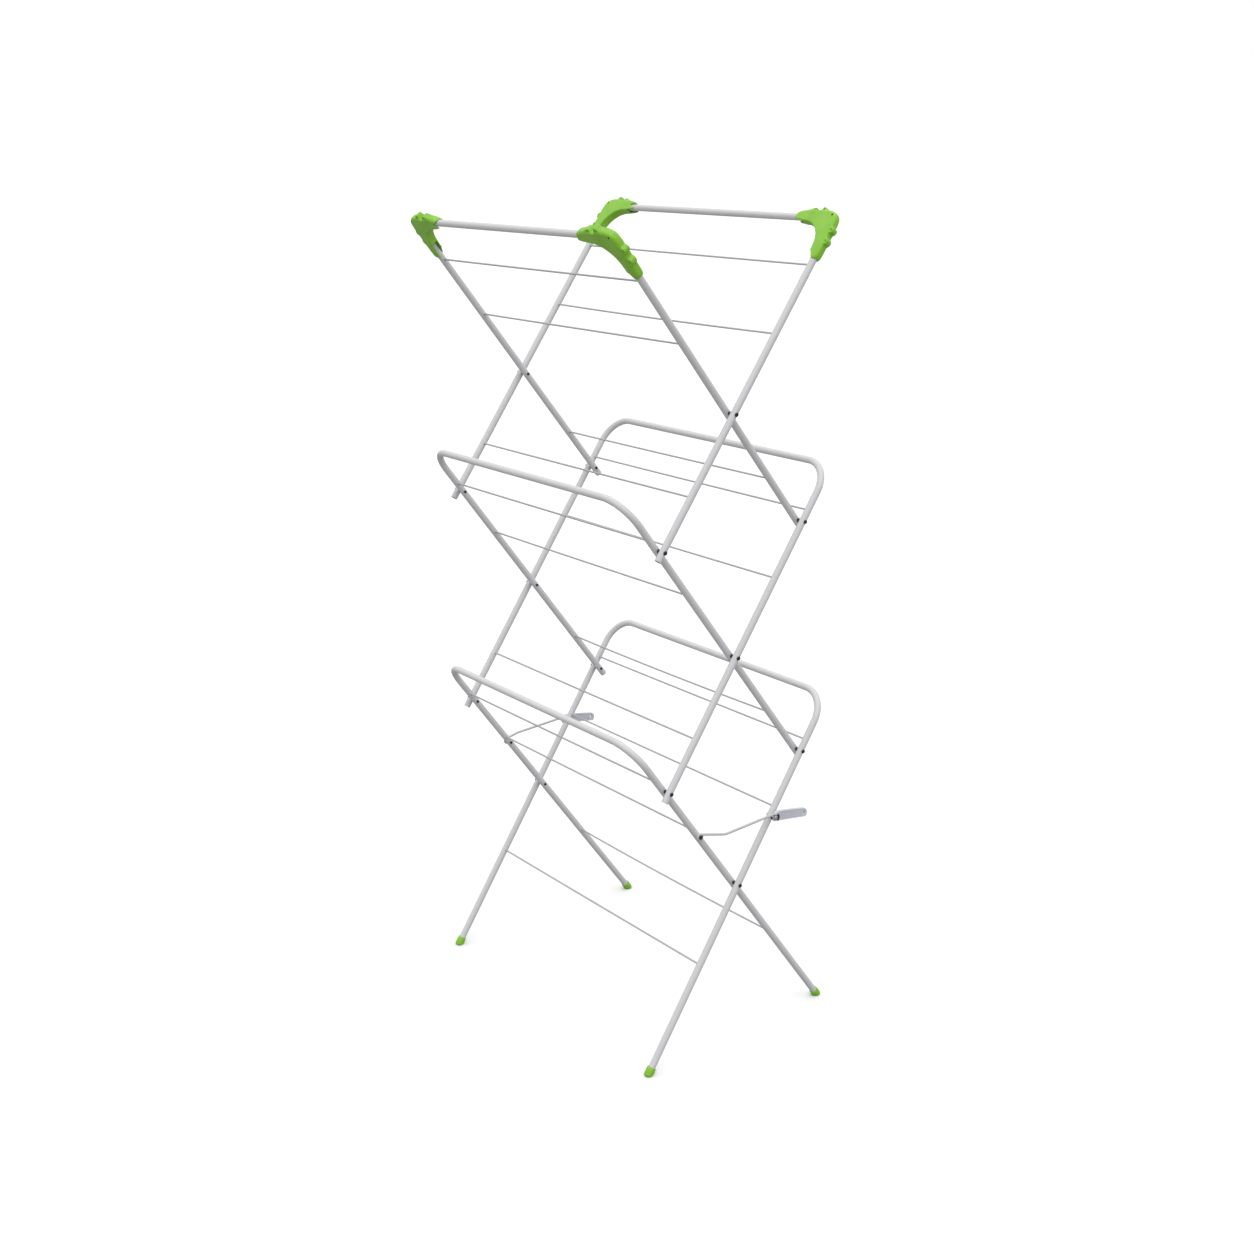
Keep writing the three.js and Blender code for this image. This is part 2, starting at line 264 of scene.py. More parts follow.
def mouldedSkin(distance, low, high, step):
    # a point in each cell that the surface crosses, and a face round each edge it crosses
    axes = [np.arange(a - 2 * step, b + 2.5 * step, step) for a, b in zip(low, high)]
    field = distance(*np.meshgrid(*axes, indexing="ij"))
    cells = tuple(n - 1 for n in field.shape)
    total = np.zeros(cells + (3,))
    hits = np.zeros(cells)
    crossings = []
    for axis in range(3):
        near = np.moveaxis(np.moveaxis(field, axis, 0)[:-1], 0, axis)
        far = np.moveaxis(np.moveaxis(field, axis, 0)[1:], 0, axis)
        crossed = (near < 0) != (far < 0)
        at = np.argwhere(crossed)
        place = at.astype(float)
        place[:, axis] += near[crossed] / (near[crossed] - far[crossed])
        first, second = [n for n in range(3) if n != axis]
        around = []
        for a, b in ((0, 0), (-1, 0), (-1, -1), (0, -1)):
            cell = at.copy()
            cell[:, first] += a
            cell[:, second] += b
            np.add.at(total, tuple(cell.T), place)
            np.add.at(hits, tuple(cell.T), 1)
            around.append(cell)
        outward = (near[crossed] < 0) != (axis == 1)
        crossings.append((around, outward))
    used = hits > 0
    number = np.cumsum(used).reshape(cells) - 1
    origin = np.array([axis[0] for axis in axes])
    vertices = total[used] / hits[used][:, None] * step + origin
    faces = []
    for around, outward in crossings:
        corners = np.stack([number[tuple(cell.T)] for cell in around], 1)
        corners[~outward] = corners[~outward][:, ::-1]
        faces.extend(corners.tolist())
    return vertices, faces


def newGroup(name, inputs, outputs):
    group = bpy.data.node_groups.new(name, "ShaderNodeTree")
    for label, value in inputs.items():
        socket = group.interface.new_socket(label, in_out="INPUT", socket_type="NodeSocketFloat")
        socket.default_value = value
    for label in outputs:
        group.interface.new_socket(label, in_out="OUTPUT", socket_type="NodeSocketFloat")
    return group, group.nodes.new("NodeGroupInput"), group.nodes.new("NodeGroupOutput")


def mathNode(tree, operation, first, second):
    node = tree.nodes.new("ShaderNodeMath")
    node.operation = operation
    for socket, value in zip(node.inputs, (first, second)):
        if isinstance(value, bpy.types.NodeSocket):
            tree.links.new(value, socket)
        else:
            socket.default_value = value
    return node.outputs[0]


def noiseNode(tree, scale, detail, roughness=0.5):
    where = tree.nodes.new("ShaderNodeTexCoord")
    node = tree.nodes.new("ShaderNodeTexNoise")
    node.inputs["Detail"].default_value = detail
    node.inputs["Roughness"].default_value = roughness
    tree.links.new(where.outputs["Object"], node.inputs["Vector"])
    if isinstance(scale, bpy.types.NodeSocket):
        tree.links.new(scale, node.inputs["Scale"])
    else:
        node.inputs["Scale"].default_value = scale
    return node.outputs["Fac"]


def rangeNode(tree, value, low, high):
    node = tree.nodes.new("ShaderNodeMapRange")
    node.interpolation_type = "SMOOTHSTEP"
    tree.links.new(value, node.inputs["Value"])
    for label, bound in (("From Min", low), ("From Max", high)):
        if isinstance(bound, bpy.types.NodeSocket):
            tree.links.new(bound, node.inputs[label])
        else:
            node.inputs[label].default_value = bound
    return node.outputs["Result"]


def buildEdgeWear():
    group, entry, leave = newGroup("edgeWear", {"Threshold": 0.53, "Scale": 180, "Amount": 0.5}, ["Mask"])
    shape = group.nodes.new("ShaderNodeNewGeometry")
    high = mathNode(group, "ADD", entry.outputs["Threshold"], 0.06)
    edge = rangeNode(group, shape.outputs["Pointiness"], entry.outputs["Threshold"], high)
    patches = rangeNode(group, noiseNode(group, entry.outputs["Scale"], 4), 0.4, 0.65)
    mask = mathNode(group, "MULTIPLY", edge, patches)
    group.links.new(mathNode(group, "MULTIPLY", mask, entry.outputs["Amount"]), leave.inputs["Mask"])
    return group


def buildOrangePeel():
    group, entry, leave = newGroup("orangePeel", {"Scale": 900, "Depth": 1}, ["Height", "Gloss"])
    fine = noiseNode(group, entry.outputs["Scale"], 2)
    broad = noiseNode(group, 14, 3)
    group.links.new(mathNode(group, "MULTIPLY", fine, entry.outputs["Depth"]), leave.inputs["Height"])
    halfFine = mathNode(group, "MULTIPLY", fine, 0.5)
    halfBroad = mathNode(group, "MULTIPLY", broad, 0.5)
    group.links.new(mathNode(group, "ADD", halfFine, halfBroad), leave.inputs["Gloss"])
    return group


def buildMouldGrain():
    group, entry, leave = newGroup("mouldGrain", {"Scale": 1600, "Depth": 1}, ["Height", "Mottle"])
    fine = noiseNode(group, entry.outputs["Scale"], 3, 0.7)
    flow = noiseNode(group, 35, 4)
    group.links.new(mathNode(group, "MULTIPLY", fine, entry.outputs["Depth"]), leave.inputs["Height"])
    group.links.new(rangeNode(group, flow, 0.3, 0.7), leave.inputs["Mottle"])
    return group


def buildSettledDust():
    group, entry, leave = newGroup("settledDust", {"Amount": 0.3, "Scale": 60}, ["Mask"])
    shape = group.nodes.new("ShaderNodeNewGeometry")
    split = group.nodes.new("ShaderNodeSeparateXYZ")
    group.links.new(shape.outputs["Normal"], split.inputs[0])
    upward = rangeNode(group, split.outputs["Z"], 0.3, 1.0)
    patches = rangeNode(group, noiseNode(group, entry.outputs["Scale"], 5, 0.65), 0.35, 0.75)
    mask = mathNode(group, "MULTIPLY", upward, patches)
    group.links.new(mathNode(group, "MULTIPLY", mask, entry.outputs["Amount"]), leave.inputs["Mask"])
    return group


effects = {
    "edgeWear": buildEdgeWear(),
    "orangePeel": buildOrangePeel(),
    "mouldGrain": buildMouldGrain(),
    "settledDust": buildSettledDust(),
}
print("shared effects built")


def newFinish(name, fixed):
    material = bpy.data.materials.new(name)
    material.use_nodes = True
    tree = material.node_tree
    shader = tree.nodes["Principled BSDF"]
    for label, value in fixed.items():
        shader.inputs[label].default_value = value
    return material, tree, shader


def placeEffect(tree, name, **values):
    node = tree.nodes.new("ShaderNodeGroup")
    node.node_tree = effects[name]
    for label, value in values.items():
        node.inputs[label].default_value = value
    return node.outputs


def tint(tree, mask, plain, other):
    node = tree.nodes.new("ShaderNodeMix")
    node.data_type = "RGBA"
    tree.links.new(mask, node.inputs["Factor"])
    sockets = [s for s in node.inputs if s.type == "RGBA"]
    for socket, value in zip(sockets, (plain, other)):
        if isinstance(value, bpy.types.NodeSocket):
            tree.links.new(value, socket)
        else:
            socket.default_value = (*value, 1)
    return next(s for s in node.outputs if s.type == "RGBA")


def bump(tree, shader, height, strength, distance):
    node = tree.nodes.new("ShaderNodeBump")
    node.inputs["Strength"].default_value = strength
    node.inputs["Distance"].default_value = distance
    tree.links.new(height, node.inputs["Height"])
    tree.links.new(node.outputs["Normal"], shader.inputs["Normal"])


def sweepRoughness(tree, shader, value, low, high):
    spread = mathNode(tree, "MULTIPLY", value, high - low)
    tree.links.new(mathNode(tree, "ADD", spread, low), shader.inputs["Roughness"])


paintColours = {
    "tube": (0.72, 0.72, 0.735),
    "rod": (0.50, 0.50, 0.51),
    "stay": (0.60, 0.60, 0.61),
    "worn": (0.30, 0.30, 0.31),
    "dust": (0.70, 0.69, 0.67),
    # painted shade: near-black colour for the inside of the tubes, where shade falls
    "bore": (0.06, 0.06, 0.06),
}
paintLook = {"shade": 0.93, "roughness": (0.30, 0.48), "bump": 0.25, "bumpDepth": 0.05 * mm}
plasticLook = {"grain": 1500, "bump": 0.3, "bumpDepth": 0.06 * mm}
steelLook = {
    "base": (0.50, 0.50, 0.51),
    "bright": (0.62, 0.62, 0.63),
    "worn": (0.85, 0.85, 0.86),
    "roughness": (0.22, 0.4),
    "bump": 0.2,
    "bumpDepth": 0.03 * mm,
}


def powderCoat(name, colour, peel):
    material, tree, shader = newFinish(name, {"Specular IOR Level": 0.45})
    coat = placeEffect(tree, "orangePeel", Scale=peel)
    wear = placeEffect(tree, "edgeWear", Threshold=0.56, Scale=240, Amount=0.35)
    dust = placeEffect(tree, "settledDust", Amount=0.25, Scale=45)
    shade = [c * paintLook["shade"] for c in colour]
    base = tint(tree, coat["Gloss"], shade, colour)
    dusty = tint(tree, dust["Mask"], base, paintColours["dust"])
    worn = tint(tree, wear["Mask"], dusty, paintColours["worn"])
    # the bore attribute marks a tube's inside faces, which get the near-black painted shade
    inside = tree.nodes.new("ShaderNodeAttribute")
    inside.attribute_name = "bore"
    paintedBoreShade = tint(tree, inside.outputs["Fac"], worn, paintColours["bore"])
    tree.links.new(paintedBoreShade, shader.inputs["Base Color"])
    sweepRoughness(tree, shader, coat["Gloss"], *paintLook["roughness"])
    bump(tree, shader, coat["Height"], paintLook["bump"], paintLook["bumpDepth"])
    return material


def mouldedPlastic(name, colour, deep, worn, roughness):
    material, tree, shader = newFinish(name, {"Specular IOR Level": 0.5})
    moulding = placeEffect(tree, "mouldGrain", Scale=plasticLook["grain"])
    wear = placeEffect(tree, "edgeWear", Threshold=0.54, Scale=300, Amount=0.45)
    dust = placeEffect(tree, "settledDust", Amount=0.07, Scale=80)
    base = tint(tree, moulding["Mottle"], colour, deep)
    rubbed = tint(tree, wear["Mask"], base, worn)
    dusty = tint(tree, dust["Mask"], rubbed, paintColours["dust"])
    tree.links.new(dusty, shader.inputs["Base Color"])
    sweepRoughness(tree, shader, moulding["Mottle"], *roughness)
    bump(tree, shader, moulding["Height"], plasticLook["bump"], plasticLook["bumpDepth"])
    return material


def turnedSteel():
    material, tree, shader = newFinish("brightSteel", {"Metallic": 1.0})
    peel = placeEffect(tree, "orangePeel", Scale=2200)
    wear = placeEffect(tree, "edgeWear", Threshold=0.53, Scale=500, Amount=0.6)
    base = tint(tree, peel["Gloss"], steelLook["base"], steelLook["bright"])
    worn = tint(tree, wear["Mask"], base, steelLook["worn"])
    tree.links.new(worn, shader.inputs["Base Color"])
    sweepRoughness(tree, shader, peel["Gloss"], *steelLook["roughness"])
    bump(tree, shader, peel["Height"], steelLook["bump"], steelLook["bumpDepth"])
    return material


finishes = {
    "white_paint": powderCoat("whitePowderCoat", paintColours["tube"], 900),
    "grey_paint": powderCoat("greyRodPaint", paintColours["rod"], 1400),
    "stay_paint": powderCoat("paleStayPaint", paintColours["stay"], 1400),
    "green_plastic": mouldedPlastic(
        "limeBracketPlastic", (0.28, 0.63, 0.035), (0.23, 0.56, 0.026), (0.38, 0.70, 0.12), (0.34, 0.46)
    ),
    "black_plastic": mouldedPlastic(
        "blackCapPlastic", (0.016, 0.015, 0.018), (0.011, 0.011, 0.013), (0.05, 0.05, 0.055), (0.3, 0.42)
    ),
    "grey_plastic": mouldedPlastic(
        "greyHandlePlastic", (0.66, 0.69, 0.745), (0.61, 0.64, 0.70), (0.72, 0.74, 0.77), (0.38, 0.5)
    ),
    "bright_steel": turnedSteel(),
}
print("finishes built:", ", ".join(finishes))


tube = {"radius": 5.5 * mm, "bore": 4.5 * mm, "rim": 0.35 * mm, "bend": 48 * mm, "sides": 36, "bendSteps": 18}


def hollowTube(route):
    # outer wall, rounded rim, bore and the other rim, all in one closed loft
    start = (route[1] - route[0]).normalized() * tube["rim"]
    end = (route[-1] - route[-2]).normalized() * tube["rim"]
    inset = [route[0] + start] + route[1:-1] + [route[-1] - end]
    outer = ringsAlong(inset, [tube["radius"]] * len(inset), tube["sides"])
    lips = ringsAlong(route, [tube["radius"] - tube["rim"]] * len(route), tube["sides"])
    bore = ringsAlong(inset, [tube["bore"]] * len(inset), tube["sides"])
    throats = ringsAlong(route, [tube["bore"] + tube["rim"] / 2] * len(route), tube["sides"])
    rings = outer + [lips[-1], throats[-1]] + bore[::-1] + [throats[0], lips[0]]
    return loft(rings, closed=True)


def tubePiece(name, route, plane):
    vertices, faces = hollowTube(route)
    piece = newPiece(name, vertices, faces, finishes["white_paint"], plane)
    # marks the bore's points, which get the painted shade inside the tube
    inside = piece.data.attributes.new("bore", "FLOAT", "POINT")
    wall = len(route) * tube["sides"]  # the bore's points follow the wall's, a lip and a throat
    start = wall + 2 * tube["sides"]
    for i in range(start, start + wall):
        inside.data[i].value = 1.0
    return crispEdges(piece)


def bentFrame(name):
    layer = name.split("_")[1]
    plane = planes[name]
    node = f"{name}_frame"
    low, high = alongPlane(node, plane)
    x, top = halfWidth[layer], high - tube["radius"]
    corners = [Vector((-x, 0, low)), Vector((-x, 0, top)), Vector((x, 0, top)), Vector((x, 0, low))]
    route = roundedRoute(corners, tube["bend"], tube["bendSteps"])
    settle(tubePiece(f"bentTube_{name}", route, plane), node)


def straightTube(node, start, end, plane):
    settle(tubePiece(f"tube_{node}", [start, end], plane), node)


def topFrame(name):
    layer = name.split("_")[1]
    plane = planes[name]
    for hand, sign in handSign.items():
        node = f"{name}_tube_{hand}"
        low, high = alongPlane(node, plane)
        x = sign * halfWidth[layer]
        straightTube(node, Vector((x, 0, low)), Vector((x, 0, high)), plane)
    node = f"{name}_rail"
    low, high = alongPlane(node, plane)
    x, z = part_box(node)[1].x, (low + high) / 2
    straightTube(node, Vector((-x, 0, z)), Vector((x, 0, z)), plane)


for frameName in ("lower_outer", "lower_inner", "middle_outer", "middle_inner"):
    bentFrame(frameName)
for frameName in ("upper_outer", "upper_inner"):
    topFrame(frameName)
print("tubes built")


rod = {
    "radius": 1.5 * mm,
    "sides": 16,
    "steps": 24,
    "weld": 1.1 * mm,  # how far the weld swells beyond the rod
    "weldLength": 1.3 * mm,
    "weldFall": 2.2,  # how fast the weld thins out
    "weldRings": (0, 0.35 * mm, 0.8 * mm, 1.5 * mm, 3 * mm),  # distances from the tube's wall
    "intoTube": 2 * mm,
    "sag": {"lower_inner_low": 2.5 * mm, "middle_inner_low": 2 * mm, "upper_outer_middle": 1.5 * mm},
    "usualSag": 0.3 * mm,
}


def dryingRod(name, height):
    layer = name.split("_")[1]
    plane = planes[name]
    node = f"{name}_rod_{height}"
    z = (plane.inverted() @ middleOf(node)).z
    wall = halfWidth[layer] - tube["radius"]
    sag = rod["sag"].get(f"{name}_{height}", rod["usualSag"])
    down = plane.to_3x3().inverted() @ Vector((0, 0, -1))
    ends = [wall + rod["intoTube"]] + [wall - distance for distance in rod["weldRings"]]
    inner = [ends[-1] * (1 - 2 * i / rod["steps"]) for i in range(1, rod["steps"])]
    path, radii = [], []
    for x in [-e for e in ends] + inner[::-1] + ends[::-1]:
        hang = sag * (1 - (x / wall) ** 2) if abs(x) < wall else 0
        path.append(Vector((x, 0, z)) + down * hang)
        fromWall = max(wall - abs(x), 0) / rod["weldLength"]
        radii.append(rod["radius"] + rod["weld"] * math.exp(-rod["weldFall"] * fromWall))
    skin = loft(ringsAlong(path, radii, rod["sides"]))
    piece = newPiece(f"dryingRod_{name}_{height}", *skin, finishes["grey_paint"], plane)
    settle(crispEdges(piece, 50), node)


for frameName in planes:
    for height in ("high", "middle", "low"):
        dryingRod(frameName, height)
print("drying rods built")


# corner bracket, in millimetres: u runs in from the side tube's axis, v down from the rail's axis,
# w across the thickness
bracket = {
    "half": 7.4,
    "crest": 5.2,  # rounding of the outer edges
    "channel": 5.7,
    "web": 2.3,
    "webHalf": 6,
    "webEnds": (62, 45),  # in along the rail, down along the side tube
    "hornHalf": 5.6,
    "hornEdge": 1.4,
    "pit": (5.6, 2),  # to each side, radius
    "pitStretch": 0.7,
    "nub": (6.2, 1.8),
    "lipStart": 2,  # the lip and the vee are cut from this far to one side and to the other
    "blend": {
        "horn": 1.2, "hollow": 1.4, "channel": 0.8, "web": 1.2,
        "notch": 0.8, "lip": 1, "pit": 0.5, "nub": 0.7,
    },
    "soften": (0.5, 2),  # share and number of smoothing passes
    "step": 1.0,
    "low": (-17, -21, -8),
    "high": (84, 75, 8),
    "outer": [
        (80, 0.6), (78, -5), (71, -8.8), (60, -11), (48, -12.4), (36, -12.8), (24, -12.8), (12, -12),
        (3, -10), (-3.6, -6), (-7, -0.5), (-8.6, 7), (-9.2, 18), (-9.4, 34), (-9.4, 50), (-8.8, 64),
        (-6, 70.5), (0, 73), (10, 72.6), (60, 72), (80, 60), (84, 20),
    ],
    "hollow": [
        (96, -1), (84, 1.5), (74, 6.4), (60, 8.5), (46, 10), (32, 15), (20.5, 24.5), (13.2, 36.5),
        (10.4, 50), (10.2, 62), (8.5, 70), (4, 77), (20, 96), (96, 96),
    ],
    "topHorn": [(20, -10), (21.6, -14.6), (25, -16.8), (28.6, -16), (29.6, -9)],
    "topShoulder": [(40, -9), (41, -13.6), (44, -15), (49, -13.8), (56, -10)],
    "topNotch": [(27.6, -24), (29.2, -14.6), (31.4, -8.6), (37.8, -8.4), (39.6, -11.4), (43.2, -24)],
    "upperHorn": [(-6, 15.5), (-12.6, 17), (-14.4, 20.6), (-13.4, 25), (-9, 27), (-6, 26.5)],
    "lowerHorn": [(-6, 34), (-12.4, 36), (-14.2, 40.5), (-12.6, 45), (-9, 46.8), (-6, 46)],
    "shortLip": [(-3, 80), (1, 71), (6, 62), (13, 55.5), (24, 55), (24, 80)],
    "vee": [(66, -1.5), (88, -12), (88, 8)],
    "pits": [(25.4, -12.6), (43, -11.6), (-10.6, 21.6), (-10.4, 40.8), (1, -3)],
    "nubs": [(13, -8.6), (-4.5, 12)],
}


def bracketDistance(u, v, w):
    flatU, flatV = u[:, :, 0], v[:, :, 0]

    def region(points):
        return outlineDistance(points, flatU, flatV)[:, :, None]

    blend = bracket["blend"]
    shape = roundedSlab(region(smoothLine(bracket["outer"])), w, bracket["half"], bracket["crest"])
    for horn in ("topHorn", "topShoulder", "upperHorn", "lowerHorn"):
        edge = region(smoothLine(bracket[horn]))
        slab = roundedSlab(edge, w, bracket["hornHalf"], bracket["hornEdge"])
        shape = joined(shape, slab, blend["horn"])
    hollow = region(smoothLine(bracket["hollow"]))
    shape = cutBy(shape, hollow, blend["hollow"])
    behindTube = np.sqrt(np.minimum(u, 0) ** 2 + np.minimum(v, 0) ** 2 + w ** 2) - bracket["channel"]
    shape = cutBy(shape, behindTube, blend["channel"])
    railEnd, tubeEnd = bracket["webEnds"]
    web = np.abs(hollow - bracket["web"] / 2) - bracket["web"] / 2
    web = np.maximum(web, np.maximum(v - tubeEnd, u - railEnd))
    web = np.maximum(web, np.abs(w) - bracket["webHalf"])
    shape = joined(shape, web, blend["web"])
    shape = cutBy(shape, region(bracket["topNotch"]), blend["notch"])
    shape = cutBy(shape, np.maximum(region(bracket["shortLip"]), bracket["lipStart"] - w), blend["lip"])
    shape = cutBy(shape, np.maximum(region(bracket["vee"]), w + bracket["lipStart"]), blend["lip"])
    reach, radius = bracket["pit"]
    for pu, pv in bracket["pits"]:
        for side in (-reach, reach):
            across = (w - side) * bracket["pitStretch"]
            pit = np.sqrt((u - pu) ** 2 + (v - pv) ** 2 + across ** 2) - radius
            shape = cutBy(shape, pit, blend["pit"])
    reach, radius = bracket["nub"]
    for pu, pv in bracket["nubs"]:
        for side in (-reach, reach):
            nub = np.sqrt((u - pu) ** 2 + (v - pv) ** 2 + (w - side) ** 2) - radius
            shape = joined(shape, nub, blend["nub"])
    return shape


bracketSkin = mouldedSkin(bracketDistance, bracket["low"], bracket["high"], bracket["step"])
print("bracket skin:", len(bracketSkin[0]), "points")


def cornerBracket(name, hand):
    layer = name.split("_")[1]
    plane = planes[name]
    sign = handSign[hand]
    railLow, railHigh = alongPlane(f"{name}_rail", plane)
    corner = Vector((sign * halfWidth[layer], 0, (railLow + railHigh) / 2))
    vertices = [corner + Vector((-sign * u, -sign * w, -v)) * mm for u, v, w in bracketSkin[0]]
    node = f"{name}_bracket_{hand}"
    faces = [face[::-1] for face in bracketSkin[1]]  # leaves them all pointing inwards
    piece = newPiece(f"cornerBracket_{layer}_{hand}", vertices, faces, finishes["green_plastic"], plane)
    soften = piece.modifiers.new("soften", "SMOOTH")
    soften.factor, soften.iterations = bracket["soften"]
    settle(piece, node)


for frameName in ("upper_outer", "upper_inner"):
    for hand in handSign:
        cornerBracket(frameName, hand)
print("corner brackets built")


# foot cap, in millimetres: z runs up the leg from the point where its axis meets the floor
foot = {
    "radius": 7.2,
    "bore": 5.6,
    "sole": 8,
    "height": 14.5,
    "toe": 2.5,
    "round": 4.6,
    "sleeve": 8,  # length of the straight part below the rim
    "sleeveInset": 0.3,
    "blend": {"sleeve": 0.8, "sole": 1.6, "bore": 0.5},
    "step": 0.55,
    "low": (-8, -8, -6),
    "high": (8, 8, 15),
}


def footDistance(lean):
    def distance(x, y, z):
        blend = foot["blend"]
        fromAxis = np.hypot(x, y)
        length = foot["height"] + foot["toe"]
        along = z - foot["height"] + length / 2
        ball = roundedSlab(fromAxis - foot["radius"], along, length / 2, foot["round"])
        half = foot["sleeve"] / 2
        neck = fromAxis - foot["radius"] + foot["sleeveInset"]
        sleeve = np.maximum(neck, np.abs(z - foot["height"] + half) - half)
        shape = joined(ball, sleeve, blend["sleeve"])
        aboveFloor = z * math.cos(lean) - y * math.sin(lean)
        shape = cutBy(shape, aboveFloor, blend["sole"])
        bore = np.maximum(fromAxis - foot["bore"], foot["sole"] - z)
        return cutBy(shape, bore, blend["bore"])
    return distance


def footCap(name, hand):
    layer = name.split("_")[1]
    plane = planes[name]
    sign = handSign[hand]
    heading = plane.col[2].to_3d()
    back = plane.col[1].to_3d()
    lean = math.atan2(-back.z, heading.z)
    start = plane.translation - heading * (plane.translation.z / heading.z)
    skin = mouldedSkin(footDistance(lean), foot["low"], foot["high"], foot["step"])
    legPlane = plane.copy()
    legPlane.translation = start + Vector((sign * halfWidth[layer], 0, 0))
    vertices = [Vector(v) * mm for v in skin[0]]
    piece = newPiece(f"footCap_{layer}_{hand}", vertices, skin[1], finishes["green_plastic"], legPlane)
    settle(piece, f"foot_{layer}_{hand}")


for frameName in ("lower_outer", "lower_inner"):
    for hand in handSign:
        footCap(frameName, hand)
print("foot caps built")


rivet = {
    "shank": 2 * mm,
    "cap": 3.2 * mm,
    "capHeight": 2 * mm,
    "collar": 3.1 * mm,
    "tail": 2.3 * mm,
    "tailLength": 1.9 * mm,
    "tailBore": 1.2 * mm,
    "tailDepth": 1.2 * mm,
    "gap": 0.3 * mm,
    "soft": 0.4 * mm,  # rounding of the collar's edges
    "sides": 32,
}
dome = {"wall": 0.35, "flat": 0.35, "top": 0.2, "foot": 0.94, "footHeight": 0.15 * mm, "steps": 8}
closing = 0.02  # a turned end closes at this share of its radius
tubeFaces = {
    "outside": halfWidth["outer"] + tube["radius"],
    "betweenOuter": halfWidth["outer"] - tube["radius"],
    "betweenInner": halfWidth["inner"] + tube["radius"],
    "inside": halfWidth["inner"] - tube["radius"],
}


def domedCap(face, radius, height):
    # short wall, then a quarter-round shoulder and a nearly flat top
    wall = height * dome["wall"]
    shoulder = height - wall
    profile = [(face, radius * dome["foot"]), (face + dome["footHeight"], radius), (face + wall, radius)]
    for step in range(1, dome["steps"]):
        angle = math.radians(90) * step / dome["steps"]
        share = dome["flat"] + (1 - dome["flat"]) * math.cos(angle)
        profile.append((face + wall + shoulder * math.sin(angle), radius * share))
    profile.append((face + height, radius * dome["top"]))
    profile.append((face + height, radius * closing))
    return profile


def rolledTail(face):
    # hollow rolled end on the inside of the inner tube
    tip = face - rivet["tailLength"]
    return [
        (tip + rivet["tailDepth"], rivet["tailBore"] * closing),
        (tip + rivet["tailDepth"], rivet["tailBore"]),
        (tip + 0.2 * mm, rivet["tailBore"]), (tip, rivet["tailBore"] + 0.3 * mm),
        (tip, rivet["tail"] - 0.4 * mm), (tip + 0.3 * mm, rivet["tail"]),
        (face - rivet["gap"], rivet["tail"]), (face - rivet["gap"], rivet["shank"]),
    ]


def frameRivet(where, hand):
    node = f"rivet_{where}_{hand}"
    soft = rivet["soft"]
    inner = tubeFaces["betweenInner"] + rivet["gap"]
    outer = tubeFaces["betweenOuter"] - rivet["gap"]
    profile = rolledTail(tubeFaces["inside"]) + [
        (inner, rivet["shank"]), (inner, rivet["collar"] - soft), (inner + soft, rivet["collar"]),
        (outer - soft, rivet["collar"]), (outer, rivet["collar"] - soft), (outer, rivet["shank"]),
        (tubeFaces["outside"] + rivet["gap"], rivet["shank"]),
    ] + domedCap(tubeFaces["outside"] + rivet["gap"], rivet["cap"], rivet["capHeight"])
    rings = turnedRings(profile, rivet["sides"], handSign[hand], middleOf(node))
    piece = newPiece(f"blackRivet_{where}_{hand}", *loft(rings), finishes["black_plastic"])
    settle(crispEdges(piece, 40), node)


for where in ("lower_cross", "lower_back", "lower_front", "middle_cross", "middle_back", "middle_front",
              "upper_cross"):
    for hand in handSign:
        frameRivet(where, hand)
print("rivets built")


stay = {
    "wire": 2.1 * mm,
    "eye": 4.3 * mm,  # radius of the loop's centre line
    "outside": 290.6 * mm,
    "elbow": (36 * mm, 0.8 * mm),  # from the pivot, back and up
    "bend": 14 * mm,
    "bendSteps": 8,
    "sides": 20,
    "eyeSide": 2.3 * mm,  # from the inner tube's face to the wire's middle
    "eyeStart": 90,  # degrees round the pivot
    "eyeTurn": 320,
    "eyeSteps": 28,
    "rivetCapHeight": 2.4 * mm,
}
stud = {
    "radius": 3.3 * mm,
    "round": 0.8 * mm,
    "roundMiddle": (0.25 * mm, 0.3 * mm),  # from the end, and in from the side
    "collar": 4.6 * mm,
    "collarEnd": 287.2 * mm,
    "end": 295.2 * mm,
    "tailLength": 1.4 * mm,
}
handle = {
    "near": 287.6 * mm,
    "far": 293.7 * mm,
    "tilt": math.radians(11),
    "step": 0.55,
    "socketStart": (6 * mm, 7.2 * mm),
    "socketEnd": (34 * mm, 4.2 * mm),
    "half": 3.05,  # from here on in millimetres
    "edge": 1.1,
    "rim": 1.6,  # raised rim round the sunk faces
    "sunkFrom": 9,
    "sunkHalf": 2.5,
    "mouth": 4,
    "hang": (61, 3.7, 2.6),  # hole: along, up, radius
    "blend": {"sunk": 0.5, "mouth": 0.6, "hang": 0.6},
    "low": (-5, -8, -4),
    "high": (70, 13, 4),
    "outline": [
        (-2.4, 4.6), (-1.6, 7), (1.5, 9.3), (6, 10.4), (20, 11), (40, 11.2), (56, 11.2), (61.5, 10.9),
        (65, 9), (67.4, 6), (67.9, 2), (67.6, -1.8), (65.6, -3.4), (60, -3.7), (40, -4.4), (24, -5),
        (6, -5.8), (-1.5, -6), (-2.6, -4.8), (-2.6, 0),
    ],
}
# black clip inside the hook, in millimetres and radians
liner = {
    "middle": 6,
    "radius": 1.9,
    "half": 3.5,
    "turn": (-0.6, 0.85),
    "step": 0.4,
    "low": (1, -7, -4),
    "high": (9, 9, 4),
}


def lockPlaces(hand):
    pivot = middleOf(f"stay_rivet_{hand}")
    centre = middleOf(f"lock_stud_{hand}")
    heading = Vector((0, math.cos(handle["tilt"]), -math.sin(handle["tilt"])))
    square = Vector((0, math.sin(handle["tilt"]), math.cos(handle["tilt"])))
    return pivot, centre, heading, square


